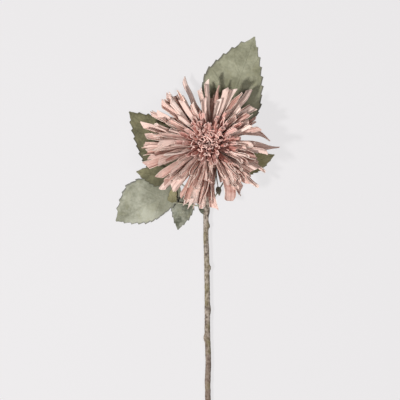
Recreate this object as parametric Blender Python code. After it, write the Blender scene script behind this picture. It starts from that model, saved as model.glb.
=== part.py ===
# A paper chrysanthemum on a bark-wrapped wire stem, lying on its back.
# Metres, +Z up. +Y runs from the cut end of the stem to the tip of the big leaf.
# The head faces up and leans back a little; the whole stem lies behind it.
import math
import random

import bmesh
import bpy
from mathutils import Matrix, Vector

# Sheets and fits
PETAL_PAPER = 0.0003
LEAF_PAPER = 0.00045
FIT_GAP = 0.0003

# Head: its place above the surface, and the lean of its axis towards +Y
HEAD_X = 0.001
HEAD_Y = -0.006
HEAD_HEIGHT = 0.030
HEAD_TILT = math.radians(12.0)

# Core wire and the bark-coloured paper wound around it
WIRE_RADIUS = 0.0010
BARK_RADIUS = 0.0026
TUBE_SIDES = 8
STEM_LENGTH = 0.324
NECK_BEND_RADIUS = 0.012
STATION_STEP = 0.008
BORE_STEP = 0.024
WIRE_INTO_HEAD = 0.0125

# Calyx: the turned plug that carries the petal rings
CALYX_HEIGHT = 0.014
CALYX_TOP_RADIUS = 0.0095
CALYX_FOOT_RADIUS = 0.0032
CALYX_SIDES = 14

# Petal rings: discs with folded strips, threaded on the wire from the calyx up
DISC_RADIUS = 0.0090
DISC_RADIUS_STEP = 0.0005
STRIP_ROOT_WIDTH = 0.0015
FOLD_PER_LENGTH = 0.055
FOLD_AT_ROOT = 0.0001

# The three outer rings: each strip by the place of its tip seen from the front
# (across, along), its width, its end, and how far the end hooks sideways in degrees
OUTER_STRIPS = [
    (-0.026, 0.067, 0.0050, "slant", 0),
    (-0.010, 0.057, 0.0040, "point", 4),
    (-0.002, 0.064, 0.0045, "fork", 0),
    (0.003, 0.051, 0.0075, "point", -6),
    (0.010, 0.060, 0.0065, "fork", 0),
    (0.025, 0.056, 0.0060, "fork", -4),
    (0.042, 0.057, 0.0060, "slant", 0),
    (0.047, 0.038, 0.0050, "point", -6),
    (0.048, 0.025, 0.0030, "tube", 5),
    (0.0625, 0.005, 0.0060, "slant", -18),
    (0.071, -0.003, 0.0080, "point", -2),
    (0.045, -0.009, 0.0045, "slant", 0),
    (0.048, -0.013, 0.0045, "slant", 3),
    (0.050, -0.019, 0.0055, "point", 0),
    (0.057, -0.031, 0.0036, "tube", 0),
    (0.049, -0.043, 0.0036, "tube", 2),
    (0.034, -0.051, 0.0070, "point", 0),
    (0.021, -0.061, 0.0110, "round", -9),
    (0.006, -0.067, 0.0070, "round", 0),
    (-0.007, -0.063, 0.0070, "fork", 0),
    (-0.018, -0.065, 0.0085, "slant", 0),
    (-0.024, -0.059, 0.0075, "slant", 0),
    (-0.029, -0.055, 0.0050, "tube", -3),
    (-0.040, -0.049, 0.0085, "round", 0),
    (-0.049, -0.047, 0.0070, "slant", 0),
    (-0.052, -0.037, 0.0060, "slant", 3),
    (-0.065, -0.025, 0.0070, "round", 0),
    (-0.060, -0.014, 0.0055, "slant", 0),
    (-0.066, -0.011, 0.0060, "fork", 0),
    (-0.065, -0.007, 0.0060, "slant", 0),
    (-0.066, -0.001, 0.0065, "round", 0),
    (-0.065, 0.008, 0.0070, "slant", 2),
    (-0.069, 0.017, 0.0060, "slant", 0),
    (-0.065, 0.020, 0.0060, "fork", 0),
    (-0.058, 0.034, 0.0080, "slant", 0),
    (-0.046, 0.044, 0.0080, "slant", 0),
    (-0.044, 0.052, 0.0060, "tube", 0),
    (-0.040, 0.053, 0.0060, "slant", -2),
    (-0.029, 0.047, 0.0060, "slant", 0),
]
OUTER_RINGS = 3

# Every ring from the outside in: rise of its strips at the root and at the end,
# in degrees. The inner rings follow a rule for everything else.
RING_RISE = [
    (-3, -8),
    (4, 0),
    (11, 8),
    (19, 16),
    (27, 25),
    (35, 34),
    (44, 44),
    (54, 55),
    (64, 65),
    (74, 75),
]
INNER_STRIPS_FIRST = 15
INNER_STRIPS_LAST = 11
INNER_REACH_FIRST = 0.057
INNER_REACH_LAST = 0.0125
INNER_WIDTH_FIRST = 0.0066
INNER_WIDTH_LAST = 0.0026
RISE_JITTER = 1.0
SWAY_JITTER = 0.22
SHAPE_SEED = 12

# Strip ends: how far the left edge, the crease and the right edge run past the
# nominal end, as shares of the width, and the width left at the end
STRIP_ENDS = {
    "slant": (0.15, -0.25, -0.70, 0.80),
    "point": (-0.70, 0.25, -0.65, 0.42),
    "fork": (0.20, -0.70, 0.05, 0.95),
    "round": (-0.35, 0.10, -0.40, 0.72),
    "tube": (0.15, 0.00, -0.45, 0.80),
}

# Centre: a fringed band rolled around the wire
ROLL_TABS = 22
ROLL_TURNS = 2.4
ROLL_LAYER_GAP = 0.0010
ROLL_BAND_HEIGHT = 0.006
ROLL_HEIGHT = 0.024
ROLL_SPREAD = 0.0040
ROLL_TAB_SHARE = 0.78

# Stem route seen from the front: distance below the head, sideways place
STEM_SWAY = [
    (0.000, 0.0010),
    (0.030, 0.0000),
    (0.046, -0.0008),
    (0.072, -0.0021),
    (0.095, -0.0020),
    (0.116, -0.0012),
    (0.156, -0.0006),
    (0.188, -0.0006),
    (0.221, 0.0004),
    (0.240, -0.0004),
    (0.256, 0.0000),
    (0.324, 0.0006),
]
# Knots in the bark: distance below the head, height, half length, side in degrees
STEM_KNOTS = [
    (0.066, 0.0012, 0.007, 0),
    (0.083, 0.0007, 0.004, 0),
    (0.125, 0.0007, 0.004, 150),
    (0.166, 0.0008, 0.005, 20),
    (0.194, 0.0008, 0.004, 180),
    (0.238, 0.0008, 0.004, 60),
    (0.283, 0.0006, 0.005, 180),
]
BARK_WAVE = 0.0002

# Leaves. Places are (across, along) seen from the front. Each side of a blade has
# its greatest half width and where along the leaf it lies. A leaf with a joint
# has a wire stalk that leaves the stem at that distance below the head.
LEAVES = [
    dict(name="leaf_top", base=(0.014, 0.013), tip=(0.047, 0.1025), left=(0.034, 0.45),
         right=(0.030, 0.30), rise=(0.0046, 0.0006), cup=0.0036, teeth=9, joint=0.040, side=1),
    dict(name="leaf_left", base=(-0.023, -0.029), tip=(-0.0794, 0.027), left=(0.027, 0.32),
         right=(0.026, 0.36), rise=(0.0085, 0.0012), cup=0.0030, teeth=8, joint=0.0520, side=-1),
    dict(name="leaf_side", base=(-0.034, -0.040), tip=(-0.072, -0.0335), left=(0.011, 0.45),
         right=(0.010, 0.50), rise=(0.0120, 0.0060), cup=0.0014, teeth=4, joint=0.0545, side=-1),
    dict(name="leaf_low", base=(-0.036, -0.053), tip=(-0.0927, -0.0832), left=(0.0175, 0.48),
         right=(0.0275, 0.55), rise=(0.0046, 0.0006), cup=0.0032, teeth=6, joint=0.0570, side=-1),
    dict(name="leaf_tiny", base=(-0.034, -0.0645), tip=(-0.038, -0.047), left=(0.0042, 0.25),
         right=(0.0045, 0.25), rise=(0.0080, 0.0080), cup=0.0005, teeth=2, joint=0.0620, side=-1),
    dict(name="leaf_foot", base=(-0.024, -0.059), tip=(-0.0303, -0.092), left=(0.0115, 0.36),
         right=(0.011, 0.40), rise=(0.0026, 0.0008), cup=0.0008, teeth=4, joint=0.0595, side=-1),
    dict(name="leaf_right", base=(0.022, -0.034), tip=(0.067, -0.0164), left=(0.011, 0.45),
         right=(0.0100, 0.55), rise=(0.0085, 0.0006), cup=0.0014, teeth=5, joint=0.054, side=1),
    dict(name="leaf_bud", base=(0.009, -0.042), tip=(0.0115, -0.058), left=(0.0036, 0.62),
         right=(0.0036, 0.62), rise=(0.0105, 0.0098), cup=0.0004, teeth=1, joint=0.0225, side=1),
]
TOOTH_DEPTH = 0.0013
BLADE_END_WIDTH = 0.0012
STALK_ROOT_RADIUS = 0.0008
STALK_TIP_RADIUS = 0.00045
STALK_SIDES = 6
STALK_STRAIGHT_OUT = 0.0042
STALK_UNDER_BLADE = 0.55

# Colours (linear) and finish
COLOURS = {
    "petal_outer": ((0.50, 0.30, 0.26), 0.85, 0.0),
    "petal_inner": ((0.42, 0.22, 0.19), 0.85, 0.0),
    "leaf_paper": ((0.26, 0.25, 0.18), 0.80, 0.0),
    "bark_paper": ((0.22, 0.18, 0.14), 0.90, 0.0),
    "stalk_paper": ((0.20, 0.20, 0.13), 0.85, 0.0),
    "steel_wire": ((0.35, 0.35, 0.34), 0.45, 1.0),
}


def clear_scene():
    for obj in list(bpy.data.objects):
        bpy.data.objects.remove(obj, do_unlink=True)


def make_materials():
    made = {}
    for name, (colour, roughness, metallic) in COLOURS.items():
        mat = bpy.data.materials.new(name)
        mat.use_nodes = True
        shader = mat.node_tree.nodes["Principled BSDF"]
        shader.inputs["Base Color"].default_value = (*colour, 1.0)
        shader.inputs["Roughness"].default_value = roughness
        shader.inputs["Metallic"].default_value = metallic
        made[name] = mat
    return made


def make_empty(name, parent=None):
    empty = bpy.data.objects.new(name, None)
    bpy.context.collection.objects.link(empty)
    empty.parent = parent
    return empty


def make_object(name, bm, mat, parent, crease_angle=35.0):
    """Turn a bmesh into an object, with round faces shaded smooth."""
    bmesh.ops.recalc_face_normals(bm, faces=bm.faces)
    mesh = bpy.data.meshes.new(name)
    bm.to_mesh(mesh)
    bm.free()
    mesh.shade_smooth()
    mesh.set_sharp_from_angle(angle=math.radians(crease_angle))
    mesh.materials.append(mat)
    obj = bpy.data.objects.new(name, mesh)
    bpy.context.collection.objects.link(obj)
    obj.parent = parent
    return obj


def give_thickness(obj, thickness):
    """A flat sheet becomes paper of real thickness, centred on the sheet."""
    paper = obj.modifiers.new("paper", "SOLIDIFY")
    paper.thickness = thickness
    paper.offset = 0.0
    paper.use_even_offset = False
    paper.use_rim = True


def blend(a, b, share):
    return a + (b - a) * share


def ease(share):
    share = min(1.0, max(0.0, share))
    return share * share * (3.0 - 2.0 * share)


def look_up(table, at):
    """Read a (place, value) table with straight lines between its entries."""
    for (at_a, value_a), (at_b, value_b) in zip(table, table[1:]):
        if at <= at_b:
            return blend(value_a, value_b, max(0.0, (at - at_a) / (at_b - at_a)))
    return table[-1][1]


# Stem route

def head_axis():
    return Vector((0.0, math.sin(HEAD_TILT), math.cos(HEAD_TILT)))


def head_origin():
    return Vector((HEAD_X, HEAD_Y, HEAD_HEIGHT))


def calyx_foot():
    return head_origin() - head_axis() * (FIT_GAP + PETAL_PAPER / 2 + CALYX_HEIGHT)


def neck_point(turned):
    """A point on the neck's arc, turned from the head's axis towards the stem."""
    start = calyx_foot() - head_axis() * FIT_GAP
    angle = HEAD_TILT + turned
    back = NECK_BEND_RADIUS * (math.cos(angle) - math.cos(HEAD_TILT))
    down = NECK_BEND_RADIUS * (math.sin(angle) - math.sin(HEAD_TILT))
    return start + Vector((0.0, back, -down))


def stem_point(below):
    """The stem's centre at a distance below the head, measured along -Y."""
    neck = neck_point(math.pi / 2 - HEAD_TILT)
    share = (HEAD_Y - below - neck.y) / (HEAD_Y - STEM_LENGTH - neck.y)
    height = blend(neck.z, BARK_RADIUS + BARK_WAVE, max(0.0, share))
    return Vector((look_up(STEM_SWAY, below), HEAD_Y - below, height))


def stem_route(step):
    """Points from the foot of the calyx to the cut end of the stem."""
    turn = math.pi / 2 - HEAD_TILT
    arc_steps = 6
    points = [neck_point(turn * i / arc_steps) for i in range(arc_steps)]
    neck = neck_point(turn)
    reach = HEAD_Y - neck.y
    first = reach + 0.25 * step
    runs = max(2, round((STEM_LENGTH - first) / step))
    points.append(neck)
    for i in range(runs + 1):
        points.append(stem_point(blend(first, STEM_LENGTH, i / runs)))
    return points


def add_tube(bm, points, sides, radius_at, end_tangents=(None, None)):
    """Rings of vertices along a route, bridged into an open tube."""
    rings = []
    count = len(points)
    across = None
    for i, point in enumerate(points):
        ahead = points[min(i + 1, count - 1)] - points[max(i - 1, 0)]
        if i == 0 and end_tangents[0] is not None:
            ahead = end_tangents[0]
        if i == count - 1 and end_tangents[1] is not None:
            ahead = end_tangents[1]
        ahead = ahead.normalized()
        if across is None:
            across = Vector((0, 1, 0)) if abs(ahead.x) > 0.9 else Vector((1, 0, 0))
        across = (across - ahead * ahead.dot(across)).normalized()
        over = across.cross(ahead)
        ring = []
        for j in range(sides):
            angle = 2 * math.pi * j / sides
            radius = radius_at(i / (count - 1), point, angle)
            spoke = across * math.cos(angle) + over * math.sin(angle)
            ring.append(bm.verts.new(point + spoke * radius))
        rings.append(ring)
    for ring_a, ring_b in zip(rings, rings[1:]):
        for j in range(sides):
            k = (j + 1) % sides
            bm.faces.new((ring_a[j], ring_a[k], ring_b[k], ring_b[j]))
    return rings


def bark_radius_at(share, point, angle):
    """The wound paper's radius, with slow waves and a knot here and there."""
    below = HEAD_Y - point.y
    radius = BARK_RADIUS + BARK_WAVE * math.sin(below * 190.0) * math.cos(angle - below * 60.0)
    for place, height, half_length, side in STEM_KNOTS:
        near = math.exp(-((below - place) / half_length) ** 2)
        facing = max(0.0, math.cos(angle - math.radians(side)))
        radius += height * near * facing
    return radius


CUT_DIRECTION = Vector((0, -1, 0))


def make_wire(mats, parent):
    points = stem_route(BORE_STEP)
    for i in range(4):
        up = blend(FIT_GAP, CALYX_HEIGHT + 2 * FIT_GAP + WIRE_INTO_HEAD, (i + 1) / 4)
        points.insert(0, calyx_foot() - head_axis() * FIT_GAP + head_axis() * up)
    bm = bmesh.new()
    ends = (-head_axis(), CUT_DIRECTION)
    rings = add_tube(bm, points, TUBE_SIDES, lambda *_: WIRE_RADIUS, ends)
    bm.faces.new(rings[0])
    bm.faces.new(rings[-1])
    return make_object("stem_wire", bm, mats["steel_wire"], parent)


def make_bark(mats, parent):
    """Paper wound on the wire: a knotted outer wall and a bore that clears the wire."""
    bm = bmesh.new()
    bore = (WIRE_RADIUS + FIT_GAP) / math.cos(math.pi / TUBE_SIDES)
    ends = (-head_axis(), CUT_DIRECTION)
    outer = add_tube(bm, stem_route(STATION_STEP), TUBE_SIDES, bark_radius_at, ends)
    inner = add_tube(bm, stem_route(BORE_STEP), TUBE_SIDES, lambda *_: bore, ends)
    for ring_a, ring_b in ((outer[0], inner[0]), (outer[-1], inner[-1])):
        for j in range(TUBE_SIDES):
            k = (j + 1) % TUBE_SIDES
            bm.faces.new((ring_a[j], ring_a[k], ring_b[k], ring_b[j]))
    return make_object("stem_bark", bm, mats["bark_paper"], parent)


def make_calyx(mats, parent):
    """A turned plug below the petal rings, bored for the wire."""
    bore = (WIRE_RADIUS + FIT_GAP) / math.cos(math.pi / CALYX_SIDES)
    top = -PETAL_PAPER / 2 - FIT_GAP
    profile = [
        (bore, top),
        (CALYX_TOP_RADIUS * 0.9, top),
        (CALYX_TOP_RADIUS, top - CALYX_HEIGHT * 0.10),
        (blend(CALYX_FOOT_RADIUS, CALYX_TOP_RADIUS, 0.55), top - CALYX_HEIGHT * 0.45),
        (CALYX_FOOT_RADIUS, top - CALYX_HEIGHT),
        (bore, top - CALYX_HEIGHT),
    ]
    bm = bmesh.new()
    verts = [bm.verts.new((radius, 0.0, height)) for radius, height in profile]
    edges = [bm.edges.new(pair) for pair in zip(verts, verts[1:] + verts[:1])]
    bmesh.ops.spin(bm, geom=verts + edges, axis=(0, 0, 1), cent=(0, 0, 0),
                   steps=CALYX_SIDES, angle=2 * math.pi, use_merge=True)
    bmesh.ops.remove_doubles(bm, verts=bm.verts, dist=0.000001)
    return make_object("calyx", bm, mats["stalk_paper"], parent)


# Petal rings

def strip_width(width, share, end_share):
    """Narrow at the root, full from the middle on, drawn in at the end."""
    grown = blend(STRIP_ROOT_WIDTH, width, ease(share / 0.55))
    return grown * blend(1.0, end_share, ease((share - 0.75) / 0.25))


def strip_points(ring, strip, share):
    """Left edge, crease and right edge of a folded strip at a share of its length."""
    base_radius = ring["disc_radius"]
    length = strip["length"]
    run = length * share
    start, end = ring["rise"]
    steps = 8
    out = base_radius
    up = ring["height"]
    slope = math.radians(start + strip["lift"])
    for i in range(steps):
        at = share * (i + 0.5) / steps
        slope = math.radians(blend(start, end, at) + strip["lift"])
        out += math.cos(slope) * run / steps
        up += math.sin(slope) * run / steps
    turn = strip["root_angle"] + strip["lean"] * ease(share / 0.6) + strip["hook"] * share ** 2
    radial = Vector((math.cos(turn), math.sin(turn), 0.0))
    lateral = Vector((-math.sin(turn), math.cos(turn), 0.0))
    along = radial * math.cos(slope) + Vector((0, 0, math.sin(slope)))
    face_up = along.cross(lateral) * -1.0
    twist = strip["twist"] * share ** 1.5
    across = lateral * math.cos(twist) + face_up * math.sin(twist)
    raised = face_up * math.cos(twist) - lateral * math.sin(twist)
    left_run, crease_run, right_run, end_share = STRIP_ENDS[strip["end"]]
    at_end = max(0.0, (share - 0.75) / 0.25)
    half = strip_width(strip["width"], share, end_share) / 2
    fold = min(FOLD_AT_ROOT + FOLD_PER_LENGTH * run, half * strip["fold"])
    centre = radial * out + Vector((0, 0, up))
    reach = along * strip["width"] * at_end
    left = centre - across * half + raised * fold * 0.6 + reach * left_run
    crease = centre - raised * fold * 0.4 + across * half * strip["crease"] + reach * crease_run
    right = centre + across * half + raised * fold * 0.6 + reach * right_run
    return left, crease, right


def outer_ring_strips(ring_index, ring, rng):
    """Every third of the outer strips, spread evenly at the root."""
    chosen = OUTER_STRIPS[ring_index::OUTER_RINGS]
    pitch = 2 * math.pi / len(chosen)
    tips = [math.atan2(along, across) for across, along, *_ in chosen]
    unrolled = [tips[0]]
    for tip in tips[1:]:
        while tip > unrolled[-1]:
            tip -= 2 * math.pi
        unrolled.append(tip)
    start = sum(tip + pitch * i for i, tip in enumerate(unrolled)) / len(chosen)
    strips = []
    for i, (across, along, width, end, hook) in enumerate(chosen):
        root_angle = start - pitch * i
        bend = math.radians(hook)
        reach = math.hypot(across, along) - ring["disc_radius"]
        slope = math.radians(sum(ring["rise"]) / 2)
        strips.append(dict(
            root_angle=root_angle, lean=unrolled[i] - root_angle - bend, hook=bend,
            length=reach / math.cos(slope), width=width, end=end,
            lift=rng.uniform(-RISE_JITTER, RISE_JITTER),
            twist=math.radians(rng.uniform(-22, 22)),
            fold=rng.uniform(0.45, 0.8), crease=rng.uniform(-0.25, 0.25)))
    return strips


def inner_ring_strips(ring_index, ring, rng):
    """Strips of the rings further in, shorter, narrower and steeper by rule."""
    last = len(RING_RISE) - 1
    share = (ring_index - OUTER_RINGS) / (last - OUTER_RINGS)
    count = round(blend(INNER_STRIPS_FIRST, INNER_STRIPS_LAST, share))
    reach = blend(INNER_REACH_FIRST, INNER_REACH_LAST, share ** 0.9)
    width = blend(INNER_WIDTH_FIRST, INNER_WIDTH_LAST, share)
    slope = math.radians(sum(ring["rise"]) / 2)
    length = (reach - ring["disc_radius"]) / math.cos(slope)
    pitch = 2 * math.pi / count
    strips = []
    for i in range(count):
        strips.append(dict(
            root_angle=pitch * (i + 0.5 * (ring_index % 2)),
            lean=pitch * rng.uniform(-SWAY_JITTER, SWAY_JITTER),
            hook=pitch * rng.uniform(-SWAY_JITTER, SWAY_JITTER) * 0.5,
            length=length * rng.uniform(0.86, 1.12), width=width * rng.uniform(0.8, 1.15),
            end=rng.choice(["slant", "slant", "fork", "round", "tube", "point"]),
            lift=rng.uniform(-RISE_JITTER, RISE_JITTER),
            twist=math.radians(rng.uniform(-25, 25)),
            fold=rng.uniform(0.45, 0.9), crease=rng.uniform(-0.25, 0.25)))
    strips.sort(key=lambda strip: -strip["root_angle"])
    return strips


def ring_layout(ring_index):
    rng = random.Random(SHAPE_SEED * 100 + ring_index)
    ring = dict(
        disc_radius=DISC_RADIUS - DISC_RADIUS_STEP * ring_index,
        height=(PETAL_PAPER + FIT_GAP) * ring_index,
        rise=RING_RISE[ring_index])
    if ring_index < OUTER_RINGS:
        ring["strips"] = outer_ring_strips(ring_index, ring, rng)
    else:
        ring["strips"] = inner_ring_strips(ring_index, ring, rng)
    return ring


def make_petal_ring(ring_index, mats, parent):
    """One die-cut star: a disc with a hole, and strips folded up around it."""
    ring = ring_layout(ring_index)
    strips = ring["strips"]
    count = len(strips)
    hole = (WIRE_RADIUS + FIT_GAP + PETAL_PAPER / 4) / math.cos(math.pi / count)
    segments = 4 if ring_index < OUTER_RINGS else 3
    bm = bmesh.new()
    hub = []
    roots = []
    for strip in strips:
        angle = strip["root_angle"]
        hub.append(bm.verts.new((hole * math.cos(angle), hole * math.sin(angle), ring["height"])))
        root = []
        for side in (-1, 0, 1):
            turn = angle + side * STRIP_ROOT_WIDTH / 2 / ring["disc_radius"]
            spot = (ring["disc_radius"] * math.cos(turn), ring["disc_radius"] * math.sin(turn))
            root.append(bm.verts.new((*spot, ring["height"])))
        roots.append(root)
    for i, strip in enumerate(strips):
        left, crease, right = roots[i]
        after = (i + 1) % count
        bm.faces.new((hub[i], left, crease))
        bm.faces.new((hub[i], crease, right))
        bm.faces.new((hub[after], roots[after][2], left, hub[i]))
        row = roots[i]
        for step in range(1, segments + 1):
            spots = strip_points(ring, strip, step / segments)
            ahead = [bm.verts.new(spot) for spot in spots]
            bm.faces.new((row[0], row[1], ahead[1], ahead[0]))
            bm.faces.new((row[1], row[2], ahead[2], ahead[1]))
            row = ahead
    slot = "petal_outer" if ring_index < 6 else "petal_inner"
    obj = make_object("petal_ring_%02d" % (ring_index + 1), bm, mats[slot], parent)
    give_thickness(obj, PETAL_PAPER)
    return obj


def make_centre_roll(mats, parent):
    """A fringed band rolled around the top of the wire."""
    rings = len(RING_RISE)
    foot = (PETAL_PAPER + FIT_GAP) * (rings - 1) + PETAL_PAPER / 2 + FIT_GAP
    start = WIRE_RADIUS + FIT_GAP + PETAL_PAPER / 2
    rng = random.Random(SHAPE_SEED)
    bm = bmesh.new()
    columns = []
    for i in range(ROLL_TABS):
        for edge in (0.0, ROLL_TAB_SHARE):
            turned = (i + edge) / (ROLL_TABS - 1 + ROLL_TAB_SHARE)
            angle = turned * ROLL_TURNS * 2 * math.pi
            radius = start + ROLL_LAYER_GAP * turned * ROLL_TURNS
            columns.append((turned, angle, radius))
    bands = []
    for turned, angle, radius in columns:
        spoke = Vector((math.cos(angle), math.sin(angle), 0.0))
        low = bm.verts.new(spoke * radius + Vector((0, 0, foot)))
        high = bm.verts.new(spoke * radius + Vector((0, 0, foot + ROLL_BAND_HEIGHT)))
        bands.append((low, high))
    for (low_a, high_a), (low_b, high_b) in zip(bands, bands[1:]):
        bm.faces.new((low_a, low_b, high_b, high_a))
    for i in range(ROLL_TABS):
        pair = [2 * i, 2 * i + 1]
        row = [bands[j][1] for j in pair]
        full = ROLL_HEIGHT * rng.uniform(0.88, 1.0)
        lean = rng.uniform(0.6, 1.0)
        for share, narrow in ((0.5, 0.10), (1.0, 0.16)):
            ahead = []
            for j, inward in zip(pair, (narrow, -narrow)):
                turned, angle, radius = columns[j]
                step_angle = ROLL_TURNS * 2 * math.pi / ROLL_TABS
                turn = angle + inward * step_angle
                spread = ROLL_SPREAD * lean * share ** 2 * turned
                spoke = Vector((math.cos(turn), math.sin(turn), 0.0))
                height = blend(ROLL_BAND_HEIGHT, full, share) + foot
                ahead.append(bm.verts.new(spoke * (radius + spread) + Vector((0, 0, height))))
            bm.faces.new((row[0], row[1], ahead[1], ahead[0]))
            row = ahead
    obj = make_object("centre_roll", bm, mats["petal_inner"], parent)
    give_thickness(obj, PETAL_PAPER)
    return obj


# Leaves

def half_width(side, share):
    """Rounded towards the base, drawn out towards the tip."""
    widest, peak = side
    if share < peak:
        rounded = math.sqrt(max(0.0, 1.0 - (1.0 - share / peak) ** 2))
    else:
        rounded = 1.0 - ((share - peak) / (1.0 - peak)) ** 1.5
    return max(BLADE_END_WIDTH / 2, widest * rounded)


def midrib_point(leaf, share):
    """The crease along the middle of a blade, arched down to its tip."""
    base = Vector(leaf["base"])
    tip = Vector(leaf["tip"])
    spot = base.lerp(tip, share)
    high, low = leaf["rise"]
    return Vector((spot.x, spot.y, blend(high, low, share ** 1.6)))


def make_blade(leaf, mats, parent):
    """A toothed blade, creased along its middle, its edges lower than the crease."""
    base = Vector(leaf["base"])
    tip = Vector(leaf["tip"])
    along = (tip - base).normalized()
    to_left = Vector((-along.y, along.x, 0.0))
    along = Vector((along.x, along.y, 0.0))
    rows = 2 * leaf["teeth"] + 1
    widest = max(leaf["left"][0], leaf["right"][0])
    columns = (1.0, 0.55, 0.0, -0.55, -1.0) if widest > 0.009 else (1.0, 0.0, -1.0)
    bm = bmesh.new()
    row_before = None
    for i in range(rows + 1):
        share = i / rows
        spine = midrib_point(leaf, share)
        row = []
        for column in columns:
            side = leaf["left"] if column > 0 else leaf["right"]
            reach = half_width(side, share)
            tooth = TOOTH_DEPTH * (i % 2) * min(1.0, reach / (6 * TOOTH_DEPTH))
            if i in (0, rows) or abs(column) < 1.0:
                tooth = 0.0
            spot = spine + to_left * column * (reach + tooth) + along * tooth
            drop = leaf["cup"] * column ** 2 * reach / widest
            floor = LEAF_PAPER * 0.55
            spot.z = max(floor, spot.z - drop)
            row.append(bm.verts.new(spot))
        if row_before:
            for j in range(len(row) - 1):
                bm.faces.new((row_before[j], row_before[j + 1], row[j + 1], row[j]))
        row_before = row
    obj = make_object(leaf["name"], bm, mats["leaf_paper"], parent)
    give_thickness(obj, LEAF_PAPER)
    return obj


def smooth_through(points, per_span):
    """A smooth line through a few route points, with no overshoot at short spans."""
    last = len(points) - 1
    spans = [(b - a).length for a, b in zip(points, points[1:])]
    pulls = []
    for i in range(last + 1):
        ahead = points[min(i + 1, last)] - points[max(i - 1, 0)]
        shortest = min(spans[max(i - 1, 0)], spans[min(i, last - 1)])
        pulls.append(ahead.normalized() * shortest)
    line = []
    for i in range(last):
        a, b = points[i], points[i + 1]
        for j in range(per_span):
            t = j / per_span
            line.append(a * (2 * t ** 3 - 3 * t ** 2 + 1) + b * (3 * t ** 2 - 2 * t ** 3)
                        + pulls[i] * (t ** 3 - 2 * t ** 2 + t) + pulls[i + 1] * (t ** 3 - t ** 2))
    line.append(points[-1])
    return line


def bark_side(below, side):
    """How far out the bark stands on its left or right, over a stalk's thickness."""
    facing = 0.0 if side > 0 else math.pi
    walls = []
    for point in stem_route(STATION_STEP):
        wall = point.x * side + bark_radius_at(0, point, facing)
        walls.append((HEAD_Y - point.y, wall))
    spots = (below - STALK_ROOT_RADIUS, below, below + STALK_ROOT_RADIUS)
    return side * max(look_up(walls, spot) for spot in spots)


def stalk_points(leaf):
    """From the bark's side to the base of the blade, then on under its crease."""
    root = stem_point(leaf["joint"])
    root.x = bark_side(leaf["joint"], leaf["side"]) + leaf["side"] * FIT_GAP
    leave = root + Vector((leaf["side"] * STALK_STRAIGHT_OUT, 0.0, 0.0))
    below = Vector((0, 0, LEAF_PAPER / 2 + FIT_GAP + STALK_ROOT_RADIUS))
    under = [midrib_point(leaf, STALK_UNDER_BLADE * share) - below
             for share in (0.0, 0.35, 1.0)]
    return smooth_through([root, leave] + under, 3)


def make_stalk(leaf, mats, parent):
    """Thin wrapped wire that carries a blade."""
    bm = bmesh.new()
    points = stalk_points(leaf)
    ends = (Vector((leaf["side"], 0, 0)), None)

    def radius_at(share, point, angle):
        return blend(STALK_ROOT_RADIUS, STALK_TIP_RADIUS, share)

    rings = add_tube(bm, points, STALK_SIDES, radius_at, ends)
    bm.faces.new(rings[0])
    bm.faces.new(rings[-1])
    return make_object("stalk_" + leaf["name"], bm, mats["stalk_paper"], parent)


def stand_on_origin(root):
    """Move the whole flower so the origin is under the middle of its box."""
    bpy.context.view_layer.update()
    graph = bpy.context.evaluated_depsgraph_get()
    low = Vector((1e9, 1e9, 1e9))
    high = -low
    for obj in bpy.context.collection.objects:
        if obj.type != "MESH":
            continue
        shown = obj.evaluated_get(graph)
        for vert in shown.data.vertices:
            spot = shown.matrix_world @ vert.co
            low = Vector(map(min, low, spot))
            high = Vector(map(max, high, spot))
    root.location = (-(low.x + high.x) / 2, -(low.y + high.y) / 2, -low.z)
    bpy.context.view_layer.update()


def build_flower():
    clear_scene()
    mats = make_materials()
    root = make_empty("flower")
    head = make_empty("head", root)
    head.location = head_origin()
    head.rotation_euler = (-HEAD_TILT, 0.0, 0.0)
    make_wire(mats, root)
    make_bark(mats, root)
    make_calyx(mats, head)
    for ring_index in range(len(RING_RISE)):
        make_petal_ring(ring_index, mats, head)
    make_centre_roll(mats, head)
    for leaf in LEAVES:
        make_blade(leaf, mats, root)
        make_stalk(leaf, mats, root)
    stand_on_origin(root)


build_flower()
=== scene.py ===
import random
from math import atan2, cos, degrees, hypot, pi, radians, sin, sqrt

import bmesh
import bpy
from mathutils import Matrix, Vector


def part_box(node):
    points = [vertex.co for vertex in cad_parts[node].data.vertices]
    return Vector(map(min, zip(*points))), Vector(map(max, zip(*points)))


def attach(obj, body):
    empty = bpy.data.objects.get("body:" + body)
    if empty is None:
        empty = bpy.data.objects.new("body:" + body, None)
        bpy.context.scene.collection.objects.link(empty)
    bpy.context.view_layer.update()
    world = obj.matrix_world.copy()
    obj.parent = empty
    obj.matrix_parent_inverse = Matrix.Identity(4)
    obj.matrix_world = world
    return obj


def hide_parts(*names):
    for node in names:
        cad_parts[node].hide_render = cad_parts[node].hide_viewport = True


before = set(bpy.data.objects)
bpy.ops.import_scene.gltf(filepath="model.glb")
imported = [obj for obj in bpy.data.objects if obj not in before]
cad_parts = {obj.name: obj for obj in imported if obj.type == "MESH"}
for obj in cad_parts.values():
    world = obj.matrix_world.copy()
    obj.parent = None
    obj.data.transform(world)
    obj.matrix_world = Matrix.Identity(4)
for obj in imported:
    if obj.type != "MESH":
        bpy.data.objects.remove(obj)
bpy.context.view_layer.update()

# A paper chrysanthemum on a bark-wrapped wire stem, lying on its back.
# Metres. The cut end of the stem is at -Y and the big leaf at +Y.

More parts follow.
